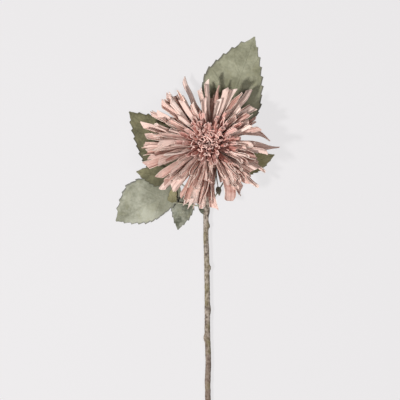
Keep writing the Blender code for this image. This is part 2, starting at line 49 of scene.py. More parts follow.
# The flower's own measures. Petal sheets are drawn thicker than the 0.3 mm of the paper,
# so that their cut edges show. The golden angle lies between one scroll and the next.
PETAL_SHEET = 0.00045
CENTRE_SHEET = 0.00075
SOLID_SHEET = 0.0003
LEAF_SHEET = 0.0005
BARK_WALL = 0.0012
FIT_GAP = 0.0003
HEAD_ACROSS = 0.001
HEAD_ALONG = -0.006
HEAD_HEIGHT = 0.030
HEAD_TILT = radians(12.0)
CALYX_HEIGHT = 0.014
NECK_BEND_RADIUS = 0.012
STEM_LENGTH = 0.324
STEM_END_HEIGHT = 0.0028
WIRE_RADIUS = 0.0010
BARK_RADIUS = 0.0026
FLOOR_GAP = 0.00005
DISC_RADIUS = 0.0090
DISC_RADIUS_STEP = 0.0005
DISC_RISE_STEP = 0.0006
SHAPE_SEED = 12
CENTRE_SCROLLS = 26
CENTRE_SPREAD = 0.0120
GOLDEN_ANGLE = 2.39996
ORIGIN = (0.0, 0.0, 0.0)

# The CAD stands with its box over the origin. The wire's box tells how far the
# design's own zero moved.
wire_low, wire_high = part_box("stem_wire")
SHIFT = Vector((wire_high.x - HEAD_ACROSS - WIRE_RADIUS,
                wire_low.y + STEM_LENGTH - HEAD_ALONG,
                wire_low.z - STEM_END_HEIGHT + WIRE_RADIUS))
HEAD = Vector((HEAD_ACROSS, HEAD_ALONG, HEAD_HEIGHT)) + SHIFT
HEAD_PLACE = Matrix.Translation(HEAD) @ Matrix.Rotation(-HEAD_TILT, 4, "X")

# Outer strips, clockwise from the upper left: place of the tip seen from the front
# in metres, width, kind of ribbon, and how far the end hooks sideways in degrees
OUTER_STRIPS = [
    (-0.0262, 0.0705, 0.0046, "gutter", 0), (-0.01, 0.057, 0.0048, "forked", 4),
    (-0.002, 0.064, 0.0052, "creased", 0), (0.003, 0.051, 0.009, "fan", -6),
    (0.01, 0.06, 0.008, "lance", 0), (0.025, 0.056, 0.0075, "creased", -4),
    (0.042, 0.057, 0.0068, "gutter", 0), (0.047, 0.038, 0.008, "fan", -6),
    (0.048, 0.025, 0.0036, "straw", 5), (0.0625, 0.005, 0.0115, "lance", -22),
    (0.071, -0.003, 0.01, "lance", 3), (0.045, -0.009, 0.0055, "creased", 0),
    (0.048, -0.013, 0.005, "gutter", 3), (0.05, -0.019, 0.006, "pinched", 0),
    (0.057, -0.031, 0.0036, "straw", 0), (0.049, -0.043, 0.0038, "straw", 2),
    (0.034, -0.051, 0.0075, "hemmed", 0), (0.0215, -0.0605, 0.0115, "rounded", -10),
    (0.006, -0.067, 0.008, "fan", 3), (-0.006, -0.066, 0.008, "forked", 0),
    (-0.018, -0.069, 0.0095, "creased", 0), (-0.024, -0.063, 0.008, "hemmed", 0),
    (-0.029, -0.055, 0.0056, "gutter", -3), (-0.04, -0.049, 0.0085, "hemmed", 0),
    (-0.049, -0.047, 0.0072, "gutter", 0), (-0.052, -0.037, 0.0072, "creased", 3),
    (-0.065, -0.025, 0.008, "fan", 0), (-0.06, -0.014, 0.0075, "hemmed", 0),
    (-0.066, -0.011, 0.0075, "creased", 0), (-0.065, -0.007, 0.007, "forked", 0),
    (-0.066, -0.001, 0.0082, "forked", 0), (-0.065, 0.008, 0.0095, "fan", 2),
    (-0.069, 0.017, 0.007, "creased", 0), (-0.065, 0.02, 0.0085, "fan", 0),
    (-0.058, 0.034, 0.0095, "lance", 0), (-0.046, 0.044, 0.0085, "hemmed", 0),
    (-0.044, 0.052, 0.0062, "gutter", 0), (-0.04, 0.053, 0.0062, "creased", -2),
    (-0.029, 0.047, 0.007, "forked", 0),
]
OUTER_RINGS = 3
# Strips slipped in where the head is dense, listed one by one: ring, then as above
SLIPPED_STRIPS = [
    (2, 0.0005, -0.06, 0.0065, "fan", 0), (4, -0.003, -0.044, 0.006, "creased", 0),
    (5, 0.002, -0.036, 0.0055, "lance", 0), (2, -0.015, -0.069, 0.0065, "lance", 0),
    (1, -0.012, -0.062, 0.007, "hemmed", 2), (2, -0.0235, -0.06, 0.006, "forked", 0),
    (3, -0.007, -0.066, 0.0055, "pinched", 0), (3, -0.0155, -0.061, 0.0065, "fan", -3),
    (1, 0.032, -0.054, 0.0055, "lance", -3), (2, 0.0265, -0.052, 0.005, "straw", -3),
    (3, 0.0195, -0.047, 0.0055, "gutter", -3), (3, 0.024, -0.048, 0.0045, "straw", -3),
    (3, 0.033, -0.044, 0.006, "hemmed", -2), (3, 0.029, -0.0495, 0.0032, "straw", 2),
    (4, 0.0245, -0.044, 0.0034, "gutter", -5), (4, 0.03, -0.04, 0.0036, "straw", 4),
    (4, 0.037, -0.042, 0.0034, "gutter", -3), (3, 0.0415, -0.0375, 0.0036, "straw", 3),
    (4, 0.041, -0.027, 0.005, "hemmed", -4), (4, 0.016, -0.04, 0.0036, "straw", 2),
    (5, 0.026, -0.034, 0.0032, "straw", -3), (5, 0.033, -0.033, 0.0034, "gutter", 3),
    (5, 0.04, -0.02, 0.0034, "straw", 2), (5, 0.012, -0.036, 0.0034, "gutter", -2),
    (2, 0.0395, -0.044, 0.0055, "creased", 0), (3, -0.045, -0.046, 0.006, "creased", 0),
    (4, -0.04, -0.038, 0.0046, "straw", 3), (5, -0.046, -0.019, 0.0044, "gutter", -3),
    (4, -0.054, -0.011, 0.005, "pinched", 2), (5, -0.03, -0.038, 0.0042, "straw", -2),
    (5, -0.05, 0.002, 0.0044, "gutter", 3), (4, -0.02, -0.05, 0.0048, "pinched", 2),
    (4, -0.054, 0.014, 0.0046, "straw", -3), (2, -0.035, -0.051, 0.007, "gutter", 0),
    (3, -0.06, -0.019, 0.006, "creased", 0), (3, -0.062, 0.004, 0.006, "gutter", 0),
    (2, -0.06, 0.028, 0.0055, "straw", 3), (3, -0.049, 0.039, 0.006, "creased", -2),
    (2, -0.033, 0.052, 0.005, "pinched", 0), (3, 0.017, 0.053, 0.006, "creased", 2),
    (2, 0.033, 0.052, 0.0055, "pinched", -3), (3, 0.047, 0.018, 0.005, "gutter", 2),
]
# Rise of each ring's strips in degrees, at the root and at the end, from the outside in
RING_RISE = [(-3, -8), (4, 0), (11, 8), (19, 16), (27, 25), (35, 34), (44, 44), (54, 55),
             (64, 65), (74, 75)]
INNER_STRIPS = (15, 11)
INNER_REACH = (0.057, 0.0125)
INNER_WIDTH = (0.0066, 0.0026)
RISE_JITTER = 1.0
SWAY_JITTER = 0.22
# The ribbons twist this many times as far as the solid strips
TWIST_GAIN = 1.6
# Rings count from 0 at the outside: the first of mixed kinds, of rose paper, of thick
# paper, and of scrolls
MIXED_RING = 5
ROSE_RING = 6
THICK_RING = 7
SCROLL_RING = 8
# Where the head is open or hollow: from which ring on, between which two directions in
# degrees, and how far out a strip may reach there
OPENINGS = [(0, -5, 11, 0.032), (0, 99, 112, 0.033), (0, -85, -75, 0.027),
            (3, 80, 97, 0.0135), (3, 60, 67, 0.019), (3, -68, -62, 0.020), (3, 136, 142, 0.024)]

# Stem seen from the front: distance below the head, place across
STEM_SWAY = [(0.000, 0.001), (0.03, 0.0000), (0.046, -0.0008), (0.072, -0.0021),
             (0.095, -0.002), (0.116, -0.0012), (0.156, -0.0006), (0.188, -0.0006),
             (0.221, 0.0004), (0.24, -0.0004), (0.256, 0.0000), (0.324, 0.0006)]
# Knots: distance below the head, how far they stand out, half length, side in degrees
STEM_KNOTS = [(0.066, 0.0012, 0.007, 0), (0.0825, 0.0014, 0.0032, 0),
              (0.124, 0.0013, 0.0034, 15), (0.166, 0.0009, 0.006, 20),
              (0.194, 0.0012, 0.0045, 180), (0.238, 0.0008, 0.004, 60),
              (0.283, 0.0006, 0.005, 180)]

# Leaves: base and tip seen from the front, each side's greatest half width and where it
# lies, height of the base and of the tip, how low the edges hang, teeth, paper colour
LEAVES = [
    ("leaf_top", (0.014, 0.013), (0.047, 0.1025), (0.034, 0.45), (0.03, 0.3),
     (0.0046, 0.0006), 0.0036, 11, "pale"),
    ("leaf_left", (-0.023, -0.029), (-0.0794, 0.027), (0.027, 0.32), (0.026, 0.36),
     (0.0085, 0.0012), 0.003, 11, "deep"),
    ("leaf_side", (-0.034, -0.04), (-0.072, -0.0335), (0.011, 0.45), (0.01, 0.5),
     (0.012, 0.006), 0.0014, 8, "deep"),
    ("leaf_low", (-0.028, -0.049), (-0.0927, -0.0832), (0.0175, 0.54), (0.0275, 0.6),
     (0.0062, 0.0006), 0.0032, 12, "frost"),
    ("leaf_tiny", (-0.0365, -0.0645), (-0.0335, -0.0465), (0.005, 0.1), (0.0048, 0.1),
     (0.008, 0.008), 0.0005, 3, "olive"),
    ("leaf_foot", (-0.0225, -0.054), (-0.0303, -0.092), (0.0115, 0.44), (0.011, 0.46),
     (0.003, 0.0008), 0.0022, 7, "middle"),
    ("leaf_right", (0.022, -0.034), (0.067, -0.0164), (0.011, 0.45), (0.01, 0.55),
     (0.0085, 0.0006), 0.0014, 9, "olive"),
    ("leaf_bud", (0.0098, -0.0485), (0.0116, -0.0575), (0.003, 0.42), (0.0028, 0.46),
     (0.0105, 0.0098), 0.0004, 2, "frost"),
    ("bract", (-0.004, -0.0765), (-0.0102, -0.0655), (0.0022, 0.45), (0.0026, 0.5),
     (0.0048, 0.0062), 0.0003, 1, "middle"),
]
TOOTH = 0.0013
BLADE_END_WIDTH = 0.0012

# The set: floor colour, lamps as name, place, size and power, and the camera
FLOOR_COLOUR = "#EAE8E9"
SURROUND = 0.09
LAMPS = [("key", (-0.86, -0.32, 1.40), 0.15, 26.0), ("fill", (0.55, 0.00, 1.8), 0.7, 12.0)]
LAMP_AIM = Vector((0.0, 0.05, 0.0))
CAMERA_PLACE = Vector((-0.008, -0.062, 2.5))
SENSOR = 36.0
# At this height the picture is this wide, so 1 mm takes 1 of its 400 pixels
SHARP_HEIGHT = 0.02
PICTURE_WIDTH = 0.4


def mix(a, b, share):
    return a + (b - a) * share


def ease(share):
    share = min(1.0, max(0.0, share))
    return share * share * (3.0 - 2.0 * share)


def look_up(table, at):
    for (at_a, value_a), (at_b, value_b) in zip(table, table[1:]):
        if at <= at_b:
            return mix(value_a, value_b, max(0.0, (at - at_a) / (at_b - at_a)))
    return table[-1][1]


# Finishes

def hue(code):
    """An sRGB hex colour as the linear colour that a socket takes."""
    parts = [int(code[i:i + 2], 16) / 255 for i in (1, 3, 5)]
    return (*[c / 12.92 if c <= 0.04045 else ((c + 0.055) / 1.055) ** 2.4 for c in parts], 1.0)


def give(tree, node, inputs):
    """Give inputs a value or a link, by name or number, or as a list from the first on.
    A node stands for its first output in use."""
    for socket, value in inputs.items() if isinstance(inputs, dict) else enumerate(inputs):
        if isinstance(value, bpy.types.Node):
            value = next(out for out in value.outputs if out.enabled)
        if isinstance(value, bpy.types.NodeSocket):
            tree.links.new(value, node.inputs[socket])
        else:
            node.inputs[socket].default_value = value


def add(tree, kind, inputs=(), stops=(), **settings):
    """Add one shader node with its settings and inputs. A MapRange list reads: value,
    from low, from high, to low, to high."""
    made = tree.nodes.new("ShaderNode" + kind)
    for name, value in settings.items():
        setattr(made, name, value)
    give(tree, made, inputs)
    if stops:
        ramp = made.color_ramp
        while len(ramp.elements) < len(stops):
            ramp.elements.new(0.5)
        for element, (place, colour) in zip(ramp.elements, stops):
            element.position = place
            element.color = hue(colour)
    return made


def start_finish(name, roughness, ior=1.45, metallic=0.0):
    mat = bpy.data.materials.new(name)
    mat.use_nodes = True
    shader = mat.node_tree.nodes["Principled BSDF"]
    shader.inputs["Roughness"].default_value = roughness
    shader.inputs["IOR"].default_value = ior
    shader.inputs["Metallic"].default_value = metallic
    return mat, mat.node_tree, shader


def petal_paper(name, light, body, deep, edge):
    """Hand-made mulberry paper, dyed and creased by hand: matt, with long fibres along
    the strip, painted shade near the root and along two folds, and undyed pulp where the
    shears went through, widened into a painted highlight along the rims."""
    mat, tree, shader = start_finish(name, 0.88)
    coords = add(tree, "TexCoord").outputs
    place = coords["Object"]
    uv = add(tree, "SeparateXYZ", [coords["UV"]]).outputs
    tone = add(tree, "Attribute", attribute_name="tone").outputs
    # Dye blotches about 6 mm across
    blotch = add(tree, "TexNoise", {"Vector": place, "Scale": 170.0,
                                    "Detail": 4.0, "Roughness": 0.6})
    # Fibres and soft streaks along the strip, each about a twentieth of its width
    drawn = add(tree, "Mapping", {"Vector": coords["UV"], "Scale": (4.0, 20.0, 1.0)})
    shifted = add(tree, "VectorMath", [drawn, tone["Vector"]], operation="ADD")
    fibre = add(tree, "TexNoise", {"Vector": shifted, "Scale": 1.0, "Detail": 5.0,
                                   "Roughness": 0.65})
    shade = add(tree, "Math", [blotch, fibre], operation="ADD")
    shade = add(tree, "Math", [shade, 0.30, -0.15], operation="MULTIPLY_ADD")
    toned = add(tree, "Math", [tone["Fac"], 0.62, shade], operation="MULTIPLY_ADD")
    colour = add(tree, "ValToRGB", [toned],
                 stops=[(0.02, deep), (0.26, body), (0.60, light)])
    # Painted shade: darker towards the root, where the strips lie in one another's shade
    root = add(tree, "MapRange", [uv["X"], 0.05, 0.62, 0.75, 0.0])
    dyed = add(tree, "Mix", {0: root, 6: colour, 7: hue(deep)}, data_type="RGBA")
    across = add(tree, "Math", [uv["Y"], 0.5], operation="SUBTRACT")
    across = add(tree, "Math", [across], operation="ABSOLUTE")
    # Painted shade along the middle fold and in the fold next to one edge
    middle = add(tree, "MapRange", [across, 0.0, 0.06, 0.5, 0.0])
    edge_fold_shade = add(tree, "Math", [uv["Y"], 0.84], operation="SUBTRACT")
    edge_fold_shade = add(tree, "Math", [edge_fold_shade], operation="ABSOLUTE")
    edge_fold_shade = add(tree, "MapRange", [edge_fold_shade, 0.02, 0.09, 0.8, 0.0])
    folds = add(tree, "Math", [middle, edge_fold_shade], operation="MAXIMUM")
    dyed = add(tree, "Mix", {0: folds, 6: dyed, 7: hue(deep)}, data_type="RGBA")
    # Undyed pulp along both edges and at the end, drawn wide on the face as a painted highlight on
    # the rims
    side = add(tree, "MapRange", [across, 0.40, 0.50, 0.0, 0.65])
    tip = add(tree, "MapRange", [uv["X"], 0.84, 1.0, 0.0, 0.35])
    bare = add(tree, "Math", [side, tip], operation="MAXIMUM")
    pulp_and_highlight = add(tree, "Math", [bare, fibre], operation="MULTIPLY")
    final = add(tree, "Mix", {0: pulp_and_highlight, 6: dyed, 7: hue(edge)}, data_type="RGBA")
    # Dye that ran to the very tip and dried there in mauve brown spots
    end = add(tree, "MapRange", [uv["X"], 0.90, 0.99, 0.0, 1.0])
    spots = add(tree, "MapRange", [blotch, 0.53, 0.60, 0.0, 0.7])
    stain = add(tree, "Math", [end, spots], operation="MULTIPLY")
    final = add(tree, "Mix", {0: stain, 6: final, 7: hue("#8A625C")}, data_type="RGBA")
    # Paper grain about 0.7 mm, over the fibres
    grain = add(tree, "TexNoise", {"Vector": place, "Scale": 1400.0, "Detail": 3.0})
    relief = add(tree, "Math", [grain, 0.3, fibre], operation="MULTIPLY_ADD")
    # Crumples: dimples about 4 mm across that meet in sharp lines
    dimples = add(tree, "TexVoronoi", {"Vector": place, "Scale": 230.0})
    relief = add(tree, "Math", [dimples, 0.6, relief], operation="MULTIPLY_ADD")
    bump = add(tree, "Bump", {"Height": relief, "Strength": 0.7, "Distance": 0.0007})
    give(tree, shader, {"Base Color": final, "Normal": bump})
    return mat


def cut_edge_paper(name, light, dark):
    """The cut edge of the same paper: bare pulp that the dye has only crept into."""
    mat, tree, shader = start_finish(name, 0.92)
    place = add(tree, "TexCoord").outputs["Object"]
    # The dye crept in by spots of 3 mm
    crept = add(tree, "TexNoise", {"Vector": place, "Scale": 320.0, "Detail": 3.0})
    colour = add(tree, "ValToRGB", [crept], stops=[(0.36, dark), (0.62, light)])
    give(tree, shader, {"Base Color": colour})
    return mat


def leaf_paper(name, light, body, deep, rim):
    """Painted paper leaf, pressed in a veined mould and rubbed with chalk: matt, mottled,
    veins as low ridges, and a darker rim where the paint gathered at the teeth."""
    mat, tree, shader = start_finish(name, 0.8)
    coords = add(tree, "TexCoord").outputs
    place = coords["Object"]
    uv = add(tree, "SeparateXYZ", [coords["UV"]]).outputs
    across = add(tree, "Math", [uv["Y"], 0.5], operation="SUBTRACT")
    across = add(tree, "Math", [across], operation="ABSOLUTE")
    # Four pairs of side veins that run forward from the midrib
    lead = add(tree, "Math", [across, -0.55, uv["X"]], operation="MULTIPLY_ADD")
    wave = add(tree, "Math", [lead, 7.0], operation="MULTIPLY")
    wave = add(tree, "Math", [wave, 1.0], operation="PINGPONG")
    vein = add(tree, "MapRange", [wave, 0.0, 0.12, 1.0, 0.0])
    rib = add(tree, "MapRange", [across, 0.0, 0.022, 1.0, 0.0])
    veins = add(tree, "Math", [vein, 0.55], operation="MULTIPLY")
    veins = add(tree, "Math", [veins, rib], operation="MAXIMUM")
    # Chalk rubbed on in clouds of 20 mm with flecks of 2.5 mm
    cloud = add(tree, "TexNoise", {"Vector": place, "Scale": 48.0, "Detail": 3.5,
                                   "Roughness": 0.55})
    fleck = add(tree, "TexNoise", {"Vector": place, "Scale": 420.0, "Detail": 4.0})
    tone = add(tree, "Math", [fleck, 0.30, cloud], operation="MULTIPLY_ADD")
    colour = add(tree, "ValToRGB", [tone],
                 stops=[(0.46, deep), (0.64, body), (0.82, light)])
    # Old yellow glue showing through in soft patches of 12 mm
    glue = add(tree, "TexNoise", {"Vector": place, "Scale": 85.0, "Detail": 3.0,
                                  "Distortion": 1.2})
    glued = add(tree, "MapRange", [glue, 0.52, 0.72, 0.0, 0.22])
    colour = add(tree, "Mix", {0: glued, 6: colour, 7: hue("#9E9B74")}, data_type="RGBA")
    # Painted shade: darker towards the base, which lies nearest the flower
    near = add(tree, "MapRange", [uv["X"], 0.05, 0.62, 0.85, 0.0])
    colour = add(tree, "Mix", {0: near, 6: colour, 7: hue(deep)}, data_type="RGBA")
    veined = add(tree, "Math", [veins, 0.16], operation="MULTIPLY")
    lined = add(tree, "Mix", {0: veined, 6: colour, 7: hue(light)}, data_type="RGBA")
    edge = add(tree, "MapRange", [across, 0.455, 0.49, 0.0, 0.85])
    final = add(tree, "Mix", {0: edge, 6: lined, 7: hue(rim)}, data_type="RGBA")
    relief = add(tree, "Math", [veins, 0.8, tone], operation="MULTIPLY_ADD")
    # Crinkles: facets about 8 mm across
    facets = add(tree, "TexVoronoi", {"Vector": place, "Scale": 120.0},
                 feature="DISTANCE_TO_EDGE")
    crinkle = add(tree, "MapRange", [facets, 0.0, 0.30, 0.0, 1.0])
    relief = add(tree, "Math", [crinkle, 0.55, relief], operation="MULTIPLY_ADD")
    bump = add(tree, "Bump", {"Height": relief, "Strength": 0.6, "Distance": 0.0010})
    give(tree, shader, {"Base Color": final, "Normal": bump})
    return mat


def wound_bark_paper():
    """Crepe paper wound on wire and painted as bark: grey-brown, streaked along the stem,
    with patches of olive and pale scuffs on the knots."""
    mat, tree, shader = start_finish("wound crepe paper painted as bark", 0.9)
    place = add(tree, "TexCoord").outputs["Object"]
    # Streaks 0.8 mm wide and about 6 mm long
    drawn = add(tree, "Mapping", {"Vector": place, "Scale": (1.0, 0.12, 1.0)})
    streak = add(tree, "TexNoise", {"Vector": drawn, "Scale": 1300.0, "Detail": 5.0,
                                    "Roughness": 0.6})
    # Olive patches of 13 mm and scuffs of 3 mm
    patch = add(tree, "TexNoise", {"Vector": place, "Scale": 75.0, "Detail": 4.0})
    scuff = add(tree, "TexNoise", {"Vector": place, "Scale": 330.0, "Detail": 4.0})
    tone = add(tree, "Math", [streak, 0.55, scuff], operation="MULTIPLY_ADD")
    colour = add(tree, "ValToRGB", [tone],
                 stops=[(0.56, "#3A3029"), (0.73, "#7D7165"), (0.90, "#AFA396")])
    olive = add(tree, "MapRange", [patch, 0.50, 0.68, 0.0, 0.6])
    # Damp-looking and redder towards the cut end
    along = add(tree, "SeparateXYZ", [place]).outputs["Y"]
    foot = add(tree, "MapRange", [along, -0.045, -0.125, 0.0, 0.6])
    aged = add(tree, "Mix", {0: foot, 6: colour, 7: hue("#705A4E")}, data_type="RGBA")
    final = add(tree, "Mix", {0: olive, 6: aged, 7: hue("#857B58")}, data_type="RGBA")
    bump = add(tree, "Bump", {"Height": tone, "Strength": 0.9, "Distance": 0.0010})
    give(tree, shader, {"Base Color": final, "Normal": bump})
    return mat


def stalk_tape():
    """Waxed floral tape over thin wire: pale sage, with a faint waxy mottle."""
    mat, tree, shader = start_finish("waxed floral tape", 0.7)
    place = add(tree, "TexCoord").outputs["Object"]
    wax = add(tree, "TexNoise", {"Vector": place, "Scale": 600.0, "Detail": 4.0})
    colour = add(tree, "ValToRGB", [wax], stops=[(0.35, "#8A8872"), (0.65, "#ABA993")])
    bump = add(tree, "Bump", {"Height": wax, "Strength": 0.5, "Distance": 0.0003})
    give(tree, shader, {"Base Color": colour, "Normal": bump})
    return mat


def drawn_steel():
    """Drawn and annealed steel wire: grey metal with fine lines along it."""
    mat, tree, shader = start_finish("drawn annealed steel wire", 0.42, 1.5, 1.0)
    place = add(tree, "TexCoord").outputs["Object"]
    drawn = add(tree, "Mapping", {"Vector": place, "Scale": (1.0, 0.05, 1.0)})
    lines = add(tree, "TexNoise", {"Vector": drawn, "Scale": 3000.0})
    colour = add(tree, "ValToRGB", [lines], stops=[(0.3, "#77736E"), (0.7, "#A19D97")])
    give(tree, shader, {"Base Color": colour})
    return mat


OUTER_PAPER = petal_paper("dyed mulberry paper, dusty pink", "#F0D8CD", "#E3C1B5",
                          "#85412F", "#F8E6DC")
INNER_PAPER = petal_paper("dyed mulberry paper, inner rose", "#F2CDC3", "#DEABA0",
                          "#8B3C30", "#FBDDD2")
# The back faces get a darker copy of each paper: painted shade for the undersides and the insides
# of the folds
OUTER_SHADED_BACK = petal_paper("dyed mulberry paper, deep side of dusty pink", "#EACCC0",
                         "#D2A698", "#6E2F1F", "#F6E2D8")
INNER_SHADED_BACK = petal_paper("dyed mulberry paper, deep side of rose", "#E2B0A4", "#C38578",
                         "#6E2A1D", "#F6CEC1")
OUTER_EDGE = cut_edge_paper("cut edge of dusty pink paper", "#F4E4D6", "#D9B5A6")
INNER_EDGE = cut_edge_paper("cut edge of rose paper", "#F6D5CA", "#E3B3A6")
LEAF_FINISH = {key: leaf_paper("painted leaf paper, " + name, *colours)
               for key, name, *colours in (
    ("pale", "pale sage", "#A8A78F", "#919079", "#76755E", "#5F5D55"),
    ("frost", "frosted sage", "#B0B09F", "#969685", "#6F6F5C", "#605F5C"),
    ("middle", "sage", "#A9AA9C", "#8D8E7F", "#424433", "#4C4B46"),
    ("olive", "light olive", "#A09A77", "#8E8862", "#6D684A", "#55513A"),
    ("deep", "olive", "#7E7A5C", "#625F46", "#45432F", "#3E3C33"))}
BARK = wound_bark_paper()
TAPE = stalk_tape()
STEEL = drawn_steel()


# Handwork: how every paper piece is picked, folded, bent and joined

def switch(mode):
    bpy.ops.object.mode_set(mode=mode)


def put(name, data):
    """Make an object of this data and place it in the scene."""
    made = bpy.data.objects.new(name, data)
    bpy.context.scene.collection.objects.link(made)
    return made


def deselect_all():
    if bpy.context.object and bpy.context.object.mode != "OBJECT":
        switch("OBJECT")
    bpy.ops.object.select_all(action="DESELECT")


def take(obj):
    """Make this the one selected and active object."""
    deselect_all()
    obj.select_set(True)
    bpy.context.view_layer.objects.active = obj


def pick(obj, wanted):
    """In edit mode, select the vertices whose index or place passes the test."""
    bm = bmesh.from_edit_mesh(obj.data)
    for vert in bm.verts:
        vert.select_set(wanted(vert))
    bm.select_flush_mode()
    bmesh.update_edit_mesh(obj.data, loop_triangles=False, destructive=False)


def lay_ribbon(name, rows, columns):
    """A flat sheet 1 long and 1 wide. Returns it with each vertex's row and column."""
    deselect_all()
    bpy.ops.mesh.primitive_grid_add(x_subdivisions=rows, y_subdivisions=columns, size=1,
                                    location=(0.5, 0.0, 0.0), calc_uvs=True)
    ribbon = bpy.context.object
    ribbon.name = name
    bpy.ops.object.transform_apply()
    places = [(round(v.co.x * rows), round((v.co.y + 0.5) * columns))
              for v in ribbon.data.vertices]
    switch("EDIT")
    bpy.ops.mesh.select_mode(type="VERT")
    return ribbon, places


def fold(ribbon, places, line, turn):
    """Fold up all that lies beyond a column line, seen from the crease in the middle."""
    right = line > COLUMNS / 2
    pick(ribbon, lambda v: (places[v.index][1] > line) if right else (places[v.index][1] < line))
    angle = radians(turn if right else -turn)
    bpy.ops.transform.rotate(value=-angle, orient_axis="X",
                             center_override=(0.0, line / COLUMNS - 0.5, 0.0))


def reshape(piece, kind, **settings):
    """Put one modifier on a piece and make what it gives the piece's own shape."""
    take(piece)
    change = piece.modifiers.new("change", kind)
    for name, value in settings.items():
        setattr(change, name, value)
    bpy.ops.object.modifier_apply(modifier="change")


def draw_line(name, points, resolution):
    """A smooth line in space through the points."""
    line = bpy.data.curves.new(name, "CURVE")
    line.dimensions = "3D"
    line.resolution_u = resolution
    spline = line.splines.new("BEZIER")
    spline.bezier_points.add(len(points) - 1)
    for knot, point in zip(spline.bezier_points, points):
        knot.co = point
        knot.handle_left_type = knot.handle_right_type = "AUTO"
    return put(name, line)


def bend_along(piece, points, tilts=None, up="Z_UP"):
    """Bend a piece that lies along X so that it follows a smooth line through the points."""
    guide = draw_line("guide", points, 8)
    line = guide.data
    line.twist_mode = up
    line.use_path = True
    for knot, tilt in zip(line.splines[0].bezier_points, tilts or []):
        knot.tilt = tilt
    reshape(piece, "CURVE", object=guide, deform_axis="POS_X")
    bpy.data.objects.remove(guide)
    bpy.data.curves.remove(line)


def path_length(points):
    return sum((b - a).length for a, b in zip(points, points[1:]))


def join(pieces, name):
    deselect_all()
    for piece in pieces:
        piece.select_set(True)
    bpy.context.view_layer.objects.active = pieces[0]
    if len(pieces) > 1:
        bpy.ops.object.join()
    pieces[0].name = name
    pieces[0].data.name = name
    return pieces[0]


def crumple(piece, size, depth):
    """Hand-worked paper is never flat: push the sheet in and out by a soft noise."""
    clouds = bpy.data.textures.new("crumple", "CLOUDS")
    clouds.noise_scale = size
    clouds.noise_depth = 2
    reshape(piece, "DISPLACE", texture=clouds, texture_coords="LOCAL", strength=depth)
    bpy.data.textures.remove(clouds)


def make_paper(piece, thickness, face, edge, crisp, back=None):
    """Give the sheet its thickness and the bare cut edge. Folds past the crisp angle
    stay sharp."""
    piece.data.materials.clear()
    for finish in (face, edge, back or face):
        piece.data.materials.append(finish)
    # The back faces take the third finish; on the petals that is a darker copy of the paper,
    # painted shade
    reshape(piece, "SOLIDIFY", thickness=thickness, offset=0.0,
            material_offset_rim=1, material_offset=2)
    bpy.ops.object.shade_smooth_by_angle(angle=radians(crisp))


# Kinds of ribbon. Each is one flat strip: its folds as (column line of 8, degrees), how far
# it is rolled over, how its width grows and tapers, its cuts as (place, side that falls
# away), and for some how deep the end is notched or ragged, or how far it is pinched.
# Line 4.001 is the middle one, with the right side folded up.
ROWS = 16
COLUMNS = 8
RIBBONS = {
    "creased": dict(folds=[(7, 20), (1, 16), (6, 8), (2, 10), (4.001, 92)], roll=-30, taper=1.0,
                    grow=0.75, cut=[((1.0, -0.34, 0), (1.0, 0.22, 0.0))]),
    "fan": dict(folds=[(7, 34), (6, 10), (1, 14), (2, 20), (4.001, 54)], roll=-16, taper=1.1,
                grow=0.9, cut=[((1.0, -0.40, 0), (1.0, 0.12, 0.0)),
                               ((0.985, 0.2, 0), (1.0, 0.5, 0.0))]),
    "hemmed": dict(folds=[(7, 30), (6, 128), (2, 26), (3, 14), (5, 6)], roll=-8, taper=1.0,
                   grow=0.8, cut=[((1.0, 0.34, 0), (1.0, -0.18, 0.0))]),
    "gutter": dict(folds=[(7, 30), (6, 30), (5, 34), (1, 26), (2, 34), (3, 28)], roll=10,
                   cut=[((1.0, -0.25, 0), (1.0, 0.16, 0.06))]),
    "straw": dict(folds=[(7, 46), (6, 48), (5, 48), (1, 46), (2, 48), (3, 48)], roll=-20,
                  cut=[((0.99, 0, 0), (1.0, 0.10, 0.22))]),
    "pinched": dict(folds=[(7, 22), (6, 20), (1, 16), (2, 24), (4.001, 104)], roll=-44, taper=0.6,
                    cut=[((1.0, -0.1, 0), (1.0, 0.12, 0.0))], pinch=0.25),
    "lance": dict(folds=[(7, 26), (6, 12), (1, 16), (2, 14), (4.001, 46)], roll=-14, taper=0.10,
                  narrow=0.52, grow=0.6, cut=[((0.99, 0, 0), (1.0, 0.06, 0.0))]),
    "forked": dict(folds=[(7, 18), (6, 24), (1, 20), (2, 22), (4.001, 52)], roll=-26, taper=1.0,
                   grow=0.7, cut=[((1.0, 0.1, 0), (1.0, -0.10, 0.0))], notch=0.14),
    "rounded": dict(folds=[(7, 30), (6, 20), (1, 24), (2, 18), (3, 10), (5, 10)], roll=0, taper=1.0,
                    grow=0.8, cut=[((0.99, 0.2, 0), (1.0, 0.34, 0.0)),
                                   ((1.0, -0.3, 0), (1.0, -0.12, 0.0))]),
    "torn": dict(folds=[(7, 24), (5, 40), (1, 18), (3, 58)], roll=-12, taper=1.0, grow=0.8,
                 cut=[((1.0, -0.2, 0), (1.0, 0.18, 0.0))], ragged=0.06),
    "scroll": dict(taper=1.1, folds=[(7, 86), (6, 66), (5, 44), (1, 70), (2, 58), (3, 44)], roll=0,
                   cut=[((0.985, 0, 0), (1.0, 0.03, 0.05))]),
    "curl": dict(taper=1.1, folds=[(7, 72), (6, 58), (5, 38), (1, -60), (2, -52), (3, -34)], roll=0,
                 cut=[((0.985, 0, 0), (1.0, -0.04, 0.05))]),
    "hook": dict(taper=1.1, folds=[(7, 96), (6, 84), (5, 30), (3, 10), (1, 24)], roll=0,
                 cut=[((0.985, 0, 0), (1.0, -0.05, 0.03))]),
}


